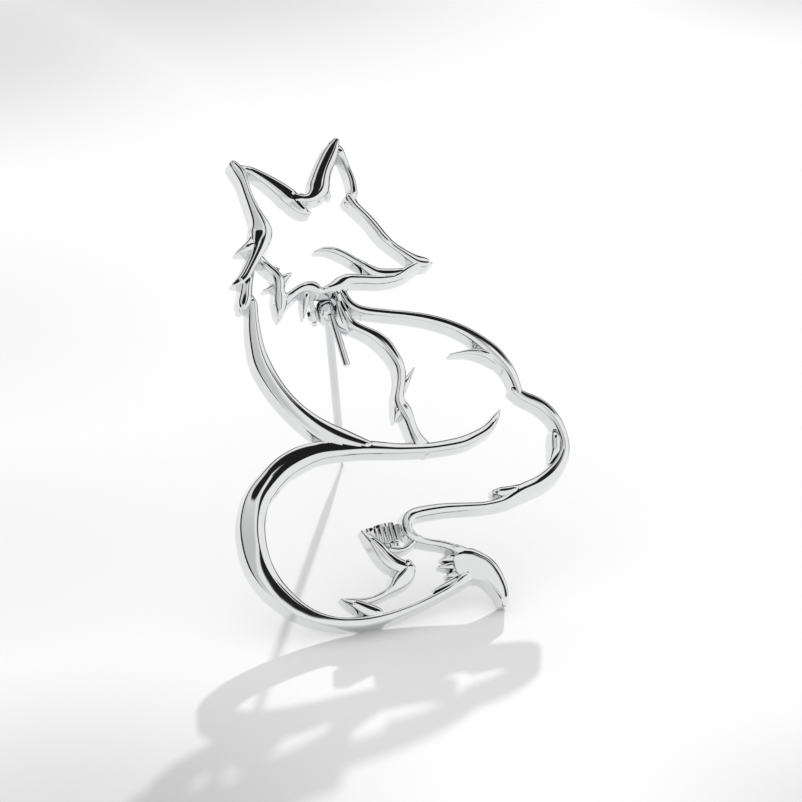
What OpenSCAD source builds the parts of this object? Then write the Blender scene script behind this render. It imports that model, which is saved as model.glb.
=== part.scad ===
// Openwork fox brooch, standing on its tail and on its swung-out pin.
// Millimetres. The figure is drawn flat, x to the right, y up along the figure, z out of its front.
// Then it is leaned back, so that +Z is up, the floor is z = 0 and the front looks to -Y.
// Every row of a stroke table is [x, y, width], each as a share of the figure's height.

/* [Figure] */
// Height of the fox in its own plane, from the tail to the ear
figure_h = 58; // [54:0.5:64]
// Thickness of the cast strokes at their ridge
casting_t = 2.2; // [2:0.1:2.6]
// How far each side of a stroke slopes outward towards the flat back
side_slope = 0.25; // [0.15:0.05:0.35]
// Lean of the figure from upright, as it rests on its pin
lean = 44; // [40:0.5:48]

/* [Pin and hinge] */
// Diameter of the pin's stem
pin_d = 1; // [0.8:0.05:1.1]
// Distance of the pin's pivot behind the flat back
pin_drop = 1.9; // [1.8:0.05:2.2]
// Angle between the open pin and its closed place
pin_open = 63.5; // [60:0.5:66]
// Length of the tapered point of the pin
pin_point = 5; // [3:0.5:8]
// Diameter of the round knuckle of the pin
eye_d = 2.8; // [2.6:0.1:2.9]
// Width of the round knuckle of the pin
eye_w = 1.9; // [1.6:0.1:2.1]
// Diameter of the pin's thicker root
root_d = 1.2; // [1.15:0.05:1.3]
// Distance from the pivot at which the thicker root has run out
root_l = 2.6; // [2.4:0.1:3.2]
// Diameter of the hub that the rivet runs through
hub_d = 1.7; // [1.6:0.1:2]
// Width between the two ears of the bracket
ear_gap = 3.1; // [2.8:0.1:3.4]
// Thickness of an ear
ear_w = 0.6; // [0.5:0.05:0.8]
// Diameter of the round end of an ear
ear_d = 2.6; // [2.4:0.1:3]
// Diameter of the rivet
rivet_d = 0.8; // [0.7:0.05:0.9]
// Gap all round between the rivet and the hub
rivet_fit = 0.05; // [0.04:0.01:0.08]
// Gap between the hub and each ear
hub_gap = 0.1; // [0.08:0.01:0.15]
// Diameter of the short rod fixed behind the ruff
rod_d = 0.9; // [0.8:0.05:1]
// Length of the fixed rod
rod_l = 6.2; // [5.5:0.1:7]

/* [Catch] */
// Outer diameter of the catch housing
catch_d = 3.4; // [3.3:0.1:3.6]
// Length of the catch housing along the pin
catch_l = 1.8; // [1.6:0.1:2.2]
// Outer diameter of the turning sleeve
sleeve_d = 2.3; // [2.2:0.05:2.4]
// Gap all round between the sleeve and its housing
sleeve_fit = 0.06; // [0.04:0.01:0.08]
// Width of the slot that lets the pin in
slot_w = 1.25; // [1.2:0.05:1.3]
// Thickness of each end flange of the sleeve
flange_w = 0.4; // [0.35:0.05:0.6]
// Length of the thumb lever, from the sleeve's axis
lever_l = 2.1; // [1.9:0.1:2.4]

/* [Hidden] */
$fn = 48;
silver = [0.78, 0.79, 0.8];
steel = [0.62, 0.64, 0.67];
hinge_x = 0.283; // share of figure_h
hinge_y = 0.651; // share of figure_h
hinge_tilt = 1.5; // degrees in the figure's plane
hinge_skew = 9.6; // degrees out of the figure's plane
catch_reach = 0.469 * figure_h; // hinge to catch along the closed pin
centre_x = 0.3427; // share of figure_h, the middle of the figure's width
centre_y = 19.25; // mm, the middle of the whole depth on the floor
sink = 0.25; // how far soldered feet go into the casting
rod_sink = 0.4; // how far the rod goes into the casting
over = 1; // how far a cutting shape passes each face
head_d = rivet_d + 0.5; // widest part of a rivet head
flange_d = catch_d - 0.5; // end flanges of the sleeve
rod_tilt = 4.2; // degrees in the figure's plane
eye_bore = rivet_d + 2 * rivet_fit;
hub_w = ear_gap - 2 * hub_gap;
sleeve_bore = pin_d + 0.3;
housing_bore = sleeve_d + 2 * sleeve_fit;
tip_r = 0.15;

// world height of the pivot, and how fast the open pin drops
hinge_z = hinge_y * figure_h * cos(lean) - pin_drop * sin(lean);
fall = cos(pin_open) * cos(hinge_tilt) * cos(lean)
    + sin(pin_open) * cos(hinge_skew) * sin(lean)
    - sin(pin_open) * sin(hinge_skew) * sin(hinge_tilt) * cos(lean);
pin_len = (hinge_z - tip_r) / fall;

ear_left_top = [
    [0.146, 0.956, 0.012], [0.172, 0.945, 0.015], [0.2, 0.923, 0.022], [0.228, 0.895, 0.031],
    [0.244, 0.876, 0.035], [0.252, 0.86, 0.028], [0.261, 0.847, 0.02], [0.272, 0.841, 0.009]];
ear_bridge = [[0.24, 0.882, 0.026], [0.26, 0.873, 0.016], [0.277, 0.87, 0.018], [0.293, 0.876, 0.028]];
ear_left_side = [
    [0.143, 0.959, 0.018], [0.151, 0.945, 0.023], [0.156, 0.922, 0.018], [0.159, 0.893, 0.017],
    [0.165, 0.861, 0.022], [0.171, 0.836, 0.032], [0.171, 0.814, 0.044], [0.16, 0.789, 0.034],
    [0.146, 0.767, 0.024], [0.129, 0.744, 0.02], [0.112, 0.724, 0.02], [0.09, 0.717, 0.004]];
ear_right_in = [
    [0.292, 0.872, 0.034], [0.305, 0.889, 0.041], [0.313, 0.908, 0.036], [0.323, 0.927, 0.032],
    [0.336, 0.946, 0.031], [0.348, 0.963, 0.028], [0.358, 0.979, 0.016]];
ear_right_out = [
    [0.352, 0.978, 0.014], [0.361, 0.963, 0.018], [0.367, 0.945, 0.013], [0.371, 0.92, 0.012],
    [0.374, 0.9, 0.013], [0.374, 0.881, 0.014], [0.371, 0.866, 0.016], [0.363, 0.855, 0.021],
    [0.355, 0.851, 0.014]];
ear_furs = [
    [[0.268, 0.878, 0.016], [0.273, 0.867, 0.013], [0.275, 0.86, 0.005]],
    [[0.296, 0.884, 0.028], [0.298, 0.87, 0.017], [0.3, 0.863, 0.006]],
    [[0.317, 0.897, 0.018], [0.32, 0.881, 0.011], [0.324, 0.868, 0.004]]];

brow = [
    [0.362, 0.858, 0.022], [0.37, 0.84, 0.018], [0.385, 0.819, 0.017], [0.399, 0.795, 0.018],
    [0.411, 0.771, 0.018], [0.424, 0.753, 0.015], [0.44, 0.736, 0.016], [0.456, 0.721, 0.019],
    [0.47, 0.71, 0.025], [0.485, 0.705, 0.022], [0.496, 0.703, 0.006]];
mouth = [
    [0.268, 0.761, 0.003], [0.286, 0.763, 0.008], [0.306, 0.757, 0.012], [0.325, 0.745, 0.013],
    [0.34, 0.732, 0.013], [0.351, 0.723, 0.014], [0.369, 0.706, 0.02], [0.387, 0.695, 0.024],
    [0.412, 0.691, 0.024], [0.432, 0.692, 0.018], [0.45, 0.694, 0.014]];
jaw = [
    [0.299, 0.687, 0.034], [0.32, 0.693, 0.025], [0.337, 0.691, 0.018], [0.355, 0.686, 0.013],
    [0.375, 0.68, 0.011], [0.395, 0.678, 0.01], [0.415, 0.681, 0.013], [0.435, 0.689, 0.02],
    [0.452, 0.697, 0.018], [0.472, 0.703, 0.014], [0.492, 0.704, 0.008]];

tuft_top = [[0.161, 0.8, 0.036], [0.146, 0.79, 0.021], [0.13, 0.785, 0.012], [0.11, 0.781, 0.004]];
tuft_low = [
    [0.128, 0.739, 0.021], [0.119, 0.72, 0.017], [0.115, 0.703, 0.015], [0.109, 0.687, 0.017],
    [0.103, 0.674, 0.019], [0.096, 0.662, 0.008]];
cheek = [
    [0.154, 0.767, 0.018], [0.159, 0.752, 0.017], [0.169, 0.738, 0.016], [0.179, 0.725, 0.017],
    [0.184, 0.709, 0.023], [0.18, 0.693, 0.019], [0.179, 0.675, 0.027], [0.175, 0.659, 0.023],
    [0.17, 0.645, 0.014], [0.166, 0.632, 0.004]];
cheek_furs = [
    [[0.17, 0.736, 0.016], [0.182, 0.736, 0.014], [0.189, 0.737, 0.005]],
    [[0.186, 0.71, 0.02], [0.199, 0.718, 0.013], [0.211, 0.724, 0.005]],
    [[0.176, 0.705, 0.014], [0.163, 0.701, 0.007], [0.15, 0.697, 0.003]]];
ruff_in = [
    [0.176, 0.665, 0.027], [0.195, 0.675, 0.018], [0.216, 0.686, 0.016], [0.234, 0.691, 0.018],
    [0.249, 0.687, 0.026], [0.259, 0.677, 0.014], [0.272, 0.679, 0.014], [0.286, 0.681, 0.022],
    [0.304, 0.684, 0.036]];
tuft_mid = [[0.235, 0.69, 0.014], [0.229, 0.668, 0.014], [0.222, 0.648, 0.009], [0.217, 0.631, 0.003]];
tuft_right = [
    [0.297, 0.688, 0.018], [0.293, 0.664, 0.012], [0.291, 0.641, 0.013], [0.292, 0.62, 0.013],
    [0.294, 0.603, 0.01], [0.299, 0.588, 0.003]];

chest = [
    [0.117, 0.7, 0.011], [0.119, 0.685, 0.014], [0.12, 0.67, 0.019], [0.117, 0.65, 0.019],
    [0.113, 0.62, 0.024], [0.111, 0.585, 0.028], [0.114, 0.55, 0.034], [0.125, 0.512, 0.034],
    [0.143, 0.473, 0.034], [0.168, 0.436, 0.036], [0.2, 0.402, 0.042], [0.245, 0.37, 0.044],
    [0.3, 0.345, 0.02]];
back = [
    [0.303, 0.685, 0.018], [0.306, 0.661, 0.015], [0.316, 0.64, 0.016], [0.338, 0.626, 0.016],
    [0.38, 0.614, 0.016], [0.42, 0.604, 0.016], [0.46, 0.591, 0.017], [0.5, 0.573, 0.018],
    [0.535, 0.55, 0.02], [0.563, 0.523, 0.024], [0.581, 0.5, 0.027], [0.595, 0.477, 0.023],
    [0.604, 0.456, 0.02], [0.608, 0.434, 0.018], [0.61, 0.412, 0.016]];
back_tuft = [
    [0.492, 0.512, 0.004], [0.514, 0.512, 0.007], [0.533, 0.511, 0.011], [0.551, 0.506, 0.015],
    [0.567, 0.497, 0.017], [0.582, 0.487, 0.02]];
rump = [
    [0.602, 0.42, 0.016], [0.618, 0.404, 0.02], [0.642, 0.388, 0.022], [0.66, 0.369, 0.022],
    [0.673, 0.344, 0.02], [0.679, 0.315, 0.018], [0.678, 0.29, 0.018], [0.666, 0.266, 0.023],
    [0.643, 0.243, 0.029], [0.61, 0.226, 0.03], [0.57, 0.216, 0.03], [0.53, 0.202, 0.021],
    [0.49, 0.199, 0.017], [0.45, 0.203, 0.018], [0.4, 0.208, 0.021], [0.36, 0.209, 0.021]];
hock = [
    [0.372, 0.209, 0.02], [0.345, 0.207, 0.022], [0.328, 0.194, 0.022], [0.325, 0.176, 0.02],
    [0.335, 0.16, 0.017], [0.355, 0.149, 0.013], [0.385, 0.139, 0.013], [0.41, 0.126, 0.016],
    [0.43, 0.11, 0.03]];
rump_tuft = [[0.514, 0.224, 0.01], [0.528, 0.221, 0.02], [0.548, 0.221, 0.018], [0.572, 0.223, 0.019]];
side_tuft = [
    [0.67, 0.333, 0.006], [0.665, 0.321, 0.014], [0.662, 0.306, 0.019], [0.658, 0.289, 0.018],
    [0.65, 0.277, 0.01], [0.643, 0.267, 0.003]];
foreleg = [
    [0.292, 0.685, 0.018], [0.294, 0.655, 0.013], [0.298, 0.63, 0.016], [0.308, 0.602, 0.019],
    [0.33, 0.585, 0.018], [0.35, 0.57, 0.023], [0.366, 0.551, 0.025], [0.377, 0.527, 0.022],
    [0.384, 0.5, 0.02], [0.38, 0.473, 0.018], [0.371, 0.449, 0.018], [0.367, 0.43, 0.024],
    [0.374, 0.412, 0.028], [0.378, 0.393, 0.022], [0.38, 0.374, 0.021], [0.387, 0.35, 0.024],
    [0.4, 0.332, 0.028]];
leg_tufts = [
    [[0.413, 0.496, 0.003], [0.402, 0.484, 0.008], [0.391, 0.471, 0.013], [0.378, 0.455, 0.016]],
    [[0.35, 0.396, 0.003], [0.356, 0.407, 0.013], [0.366, 0.424, 0.022]]];
haunch = [
    [0.564, 0.384, 0.004], [0.551, 0.369, 0.013], [0.532, 0.352, 0.018], [0.505, 0.341, 0.02],
    [0.475, 0.333, 0.023], [0.44, 0.331, 0.022], [0.4, 0.332, 0.021], [0.346, 0.339, 0.023],
    [0.317, 0.345, 0.026], [0.28, 0.352, 0.029], [0.23, 0.358, 0.03], [0.19, 0.36, 0.036]];

tail = [
    [0.24, 0.356, 0.03], [0.19, 0.36, 0.038], [0.15, 0.354, 0.044], [0.11, 0.338, 0.045],
    [0.075, 0.312, 0.045], [0.05, 0.287, 0.048], [0.034, 0.257, 0.05], [0.025, 0.225, 0.051],
    [0.022, 0.19, 0.05], [0.025, 0.155, 0.049], [0.036, 0.122, 0.045], [0.053, 0.093, 0.04],
    [0.078, 0.063, 0.033], [0.108, 0.04, 0.025], [0.15, 0.022, 0.02], [0.2, 0.0145, 0.02],
    [0.25, 0.0165, 0.018], [0.3, 0.025, 0.014], [0.345, 0.037, 0.013], [0.385, 0.05, 0.013],
    [0.41, 0.062, 0.02], [0.432, 0.071, 0.024]];
tail_tip = [
    [0.43, 0.092, 0.064], [0.442, 0.086, 0.06], [0.459, 0.075, 0.053],
    [0.47, 0.06, 0.042], [0.478, 0.04, 0.032], [0.482, 0.02, 0.022], [0.48, 0.001, 0.01]];
tail_furs = [
    [[0.43, 0.11, 0.02], [0.398, 0.111, 0.016], [0.382, 0.11, 0.006]],
    [[0.43, 0.091, 0.018], [0.392, 0.095, 0.013], [0.373, 0.097, 0.005]],
    [[0.43, 0.077, 0.02], [0.402, 0.077, 0.014], [0.385, 0.077, 0.006]],
    [[0.42, 0.073, 0.02], [0.385, 0.064, 0.01], [0.354, 0.054, 0.004]]];
foot_leaf = [
    [0.236, 0.19, 0.005], [0.245, 0.177, 0.012], [0.254, 0.162, 0.021], [0.263, 0.148, 0.028],
    [0.271, 0.133, 0.03], [0.283, 0.118, 0.03], [0.299, 0.108, 0.027], [0.311, 0.104, 0.022]];
foot_arc = [
    [0.244, 0.18, 0.007], [0.26, 0.161, 0.01], [0.274, 0.149, 0.011], [0.291, 0.143, 0.01],
    [0.305, 0.141, 0.01], [0.32, 0.145, 0.01], [0.333, 0.154, 0.012], [0.346, 0.159, 0.013]];
foot_hook = [
    [0.309, 0.109, 0.022], [0.309, 0.099, 0.03], [0.298, 0.089, 0.033], [0.284, 0.08, 0.03],
    [0.273, 0.071, 0.019], [0.26, 0.065, 0.012], [0.242, 0.059, 0.011], [0.224, 0.055, 0.011],
    [0.203, 0.055, 0.011], [0.183, 0.061, 0.008], [0.166, 0.066, 0.003]];
foot_sole = [
    [0.168, 0.065, 0.004], [0.181, 0.057, 0.012], [0.196, 0.048, 0.02], [0.21, 0.038, 0.026],
    [0.228, 0.028, 0.024]];

// one smooth value between b and c, at the share t of the way
function between(a, b, c, d, t) =
    0.5 * ((2 * b) + (c - a) * t + (2 * a - 5 * b + 4 * c - d) * t * t + (3 * b - a - 3 * c + d) * t * t * t);

// a table with the rows in between added, k to a gap
function smooth_rows(rows, k) = let (n = len(rows)) concat(
    [for (i = [0:n - 2], j = [0:k - 1])
        between(rows[max(i - 1, 0)], rows[i], rows[i + 1], rows[min(i + 2, n - 1)], j / k)],
    [rows[n - 1]]);

// the cross-section of a stroke, h its half width and g its slope: [sideways, share of the thickness]
function section(h, g) = [
    [-h - g, 0], [-h, 0.62], [-0.66 * h, 0.88], [0, 1], [0.66 * h, 0.88], [h, 0.62], [h + g, 0]];

// one stroke of the figure as a closed solid of unit thickness, flat on z = 0
module stroke(rows, deep = 1) {
    r = smooth_rows(rows, 2);
    n = len(r);
    s = len(section(1, 0));
    g = side_slope / figure_h;
    along = [for (i = [0:n - 1]) let (d = r[min(i + 1, n - 1)] - r[max(i - 1, 0)])
        [d[0], d[1]] / norm([d[0], d[1]])];
    points = [for (i = [0:n - 1]) let (
            w = max(r[i][2], 0.003),
            high = deep * min(1, 0.62 + 0.38 * w / 0.016),
            slope = g * min(1, w / 0.012))
        for (p = section(w / 2, slope))
            [(r[i][0] + along[i][1] * p[0]) * figure_h,
                (r[i][1] - along[i][0] * p[0]) * figure_h,
                p[1] * high]];
    sides = [for (i = [0:n - 2], j = [0:s - 1]) let (k = (j + 1) % s)
        each [[i * s + j, (i + 1) * s + j, (i + 1) * s + k], [i * s + j, (i + 1) * s + k, i * s + k]]];
    ends = [for (j = [1:s - 2]) each [[0, j, j + 1], [(n - 1) * s, (n - 1) * s + j + 1, (n - 1) * s + j]]];
    polyhedron(points = points, faces = concat(sides, ends));
}

// all strokes of the fox, raised together to the casting's thickness
module casting() {
    resize([0, 0, casting_t]) {
        union() {
            stroke(ear_left_top);
            stroke(ear_bridge);
            stroke(ear_left_side);
            stroke(ear_right_in);
            stroke(ear_right_out);
            for (rows = ear_furs) stroke(rows);
            stroke(brow);
            stroke(mouth);
            stroke(jaw);
            stroke(tuft_top);
            stroke(tuft_low);
            stroke(cheek);
            for (rows = cheek_furs) stroke(rows);
            stroke(ruff_in);
            stroke(tuft_mid);
            stroke(tuft_right);
            stroke(chest);
            stroke(back);
            stroke(back_tuft);
            stroke(rump);
            stroke(hock);
            stroke(rump_tuft);
            stroke(side_tuft);
            stroke(foreleg);
            for (rows = leg_tufts) stroke(rows);
            stroke(haunch);
            stroke(tail);
            stroke(tail_tip);
            for (rows = tail_furs) stroke(rows);
            stroke(foot_leaf);
            stroke(foot_arc);
            stroke(foot_hook);
            stroke(foot_sole);
        }
    }
}

// from the figure's plane to the place where the brooch stands
module stood() {
    translate([-centre_x * figure_h, -centre_y, 0])
        rotate([90 - lean, 0, 0])
            children();
}

// the pivot's own frame: x along the rivet, -y towards the catch, -z away from the figure
module at_hinge() {
    translate([hinge_x * figure_h, hinge_y * figure_h, -pin_drop])
        rotate([0, -hinge_skew, hinge_tilt])
            children();
}

// the catch's own frame: z along the closed pin, towards its point
module at_catch() {
    at_hinge()
        translate([0, -catch_reach, 0])
            rotate([0, hinge_skew, 0])
                rotate([90, 0, 0])
                    children();
}

// round-ended cheek of the bracket, its foot soldered behind the edge of the ruff
module bracket_ear(side) {
    translate([side * (ear_gap + ear_w) / 2 - ear_w / 2, 0, 0]) {
        rotate([0, 90, 0])
            cylinder(d = ear_d, h = ear_w);
        translate([0, 0, -0.35 * ear_d])
            cube([ear_w, 0.045 * figure_h, pin_drop + 0.35 * ear_d + 2 * sink]);
    }
}

// short rod, soldered along the back of the right-hand tuft
module rod() {
    translate([0.28 * figure_h, 0.635 * figure_h, rod_sink - rod_d / 2])
        rotate([90, 0, rod_tilt])
            cylinder(d = rod_d, h = rod_l);
}

// open ring that holds the turning sleeve, with its foot on the back of the hock
module housing() {
    difference() {
        union() {
            at_catch()
                cylinder(d = catch_d, h = catch_l, center = true);
            at_catch()
                translate([-catch_d / 2, 0, -catch_l / 2])
                    cube([catch_d, pin_drop + sink, catch_l]);
        }
        at_catch()
            cylinder(d = housing_bore, h = catch_l + 2 * over, center = true);
        at_catch()
            translate([-slot_w / 2, -catch_d, -catch_l])
                cube([slot_w, catch_d, 2 * catch_l]);
    }
}

module fox_frame() {
    color(silver)
        stood()
            union() {
                casting();
                difference() {
                    at_hinge() {
                        bracket_ear(-1);
                        bracket_ear(1);
                    }
                    at_hinge()
                        rotate([0, 90, 0])
                            cylinder(d = rivet_d, h = 2 * ear_gap, center = true);
                }
                rod();
                housing();
            }
}

// rivet with two low heads, fast in both ears
module hinge_rivet() {
    long = ear_gap + 2 * ear_w;
    color(steel)
        stood()
            at_hinge()
                rotate([0, 90, 0]) {
                    cylinder(d = rivet_d, h = long, center = true);
                    for (side = [0, 1])
                        mirror([0, 0, side])
                            translate([0, 0, long / 2])
                                cylinder(d1 = head_d, d2 = 0.7 * head_d, h = 0.25);
                }
}

// eye, hub, stem and point, in the open place that the brooch stands on
module pin_stem() {
    color(steel)
        stood()
            at_hinge()
                rotate([pin_open, 0, 0])
                    difference() {
                        union() {
                            rotate([0, 90, 0])
                                cylinder(d = hub_d, h = hub_w, center = true);
                            rotate([0, 90, 0])
                                rotate_extrude()
                                    polygon([
                                        [0, -eye_w / 2], [0.34 * eye_d, -eye_w / 2],
                                        [0.45 * eye_d, -0.36 * eye_w], [eye_d / 2, -0.14 * eye_w],
                                        [eye_d / 2, 0.14 * eye_w], [0.45 * eye_d, 0.36 * eye_w],
                                        [0.34 * eye_d, eye_w / 2], [0, eye_w / 2]]);
                            rotate([90, 0, 0])
                                rotate_extrude()
                                    polygon([
                                        [0, 0], [root_d / 2, 0], [root_d / 2, 0.6 * root_l],
                                        [pin_d / 2, root_l], [pin_d / 2, pin_len - pin_point],
                                        [tip_r, pin_len], [0, pin_len]]);
                            translate([0, -pin_len, 0])
                                sphere(r = tip_r);
                        }
                        rotate([0, 90, 0])
                            cylinder(d = eye_bore, h = 2 * hub_w, center = true);
                    }
}

// slotted barrel with two flanges and a thumb lever
module catch_sleeve() {
    half = catch_l / 2 + 0.1;
    color(steel)
        stood()
            at_catch()
                difference() {
                    union() {
                        cylinder(d = sleeve_d, h = 2 * half + 0.2, center = true);
                        for (side = [0, 1])
                            mirror([0, 0, side])
                                translate([0, 0, half])
                                    cylinder(d = flange_d, h = flange_w);
                        translate([-lever_l + 0.4, -0.4, -half - flange_w])
                            cube([lever_l - 0.4, 0.8, flange_w]);
                        translate([-lever_l + 0.4, 0, -half - flange_w])
                            cylinder(d = 0.8, h = flange_w);
                    }
                    cylinder(d = sleeve_bore, h = 3 * half, center = true);
                    translate([-slot_w / 2, -catch_d, -catch_l])
                        cube([slot_w, catch_d, 2 * catch_l]);
                }
}

fox_frame();
hinge_rivet();
pin_stem();
catch_sleeve();
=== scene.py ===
"""Openwork fox brooch in polished rhodium plate, leaning back on its own swung-out pin.

Metres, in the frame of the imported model: +Z up, the floor at z = 0, the front towards -Y.
The figure is worked out flat first: x to the right, y up along the figure, z out of its front,
and then leaned back on the floor.
"""

import math

import bpy
import numpy as np
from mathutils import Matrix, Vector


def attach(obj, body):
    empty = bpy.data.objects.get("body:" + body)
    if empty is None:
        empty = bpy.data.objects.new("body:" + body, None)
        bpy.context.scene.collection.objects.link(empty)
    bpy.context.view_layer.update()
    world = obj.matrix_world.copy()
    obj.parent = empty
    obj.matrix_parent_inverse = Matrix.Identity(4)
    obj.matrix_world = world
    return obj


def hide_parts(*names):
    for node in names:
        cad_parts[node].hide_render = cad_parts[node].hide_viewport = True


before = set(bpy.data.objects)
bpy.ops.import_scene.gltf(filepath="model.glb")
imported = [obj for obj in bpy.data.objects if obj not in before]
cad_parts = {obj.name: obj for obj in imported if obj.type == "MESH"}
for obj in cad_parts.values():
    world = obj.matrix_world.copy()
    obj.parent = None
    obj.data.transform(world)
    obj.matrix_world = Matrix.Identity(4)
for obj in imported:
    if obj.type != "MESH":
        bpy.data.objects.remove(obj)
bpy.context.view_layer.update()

# Sizes, in metres and degrees
MM = 0.001
FIGURE_H = 58 * MM              # the figure's height in its own plane
CASTING_T = 2.2 * MM            # the casting's thickness at its crests
SIDE_SLOPE = 0.25 * MM          # how far the sides flare from the front's edge to the back
LEAN = 44.0                     # how far the figure leans back from upright
CENTRE_X = 0.3427 * FIGURE_H    # middle of the footprint, in the flat figure and on the floor
CENTRE_Y = 19.25 * MM
PIN_DROP = 1.9 * MM             # how far the hinge's pivot lies behind the casting's back
HINGE_AT = (0.283 * FIGURE_H, 0.651 * FIGURE_H)
HINGE_TILT = 1.5                # turn of the hinge in the figure's plane
HINGE_SKEW = 9.6                # and out of it
CATCH_REACH = 0.469 * FIGURE_H  # from the hinge's pivot to the catch's middle
EAR_GAP = 3.1 * MM              # between the bracket's two cheeks
EAR_W = 0.6 * MM                # thickness of a cheek
EAR_D = 2.6 * MM                # its round end
CHEEK_FOOT = 0.045 * FIGURE_H   # length of its foot along the casting's back
CHEEK_EDGE = 0.1 * MM           # rounding of its rim
ROD_AT = (0.28 * FIGURE_H, 0.635 * FIGURE_H)
ROD_D = 0.9 * MM
ROD_L = 6.2 * MM
ROD_SINK = 0.4 * MM             # how deep the rod sits in the casting
ROD_TILT = 4.2
ROD_CHAMFER = 0.06 * MM
CATCH_D = 3.4 * MM
CATCH_L = 1.8 * MM
CATCH_EDGE = 0.08 * MM
HOUSING_BORE = 2.42 * MM
SLOT_W = 1.25 * MM              # gap of the catch that lets the pin in
RIBS = 6                        # round ribs on the front of the catch
RIB_DEPTH = 0.2 * MM
KNUCKLE_D = 3.3 * MM            # the pin's round drum: diameter, width and roundness
KNUCKLE_W = 2.8 * MM
KNUCKLE_POWER = 2.6
FOOT_SINK = 0.25 * MM           # how deep the feet of bracket and catch sit in the casting

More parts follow.
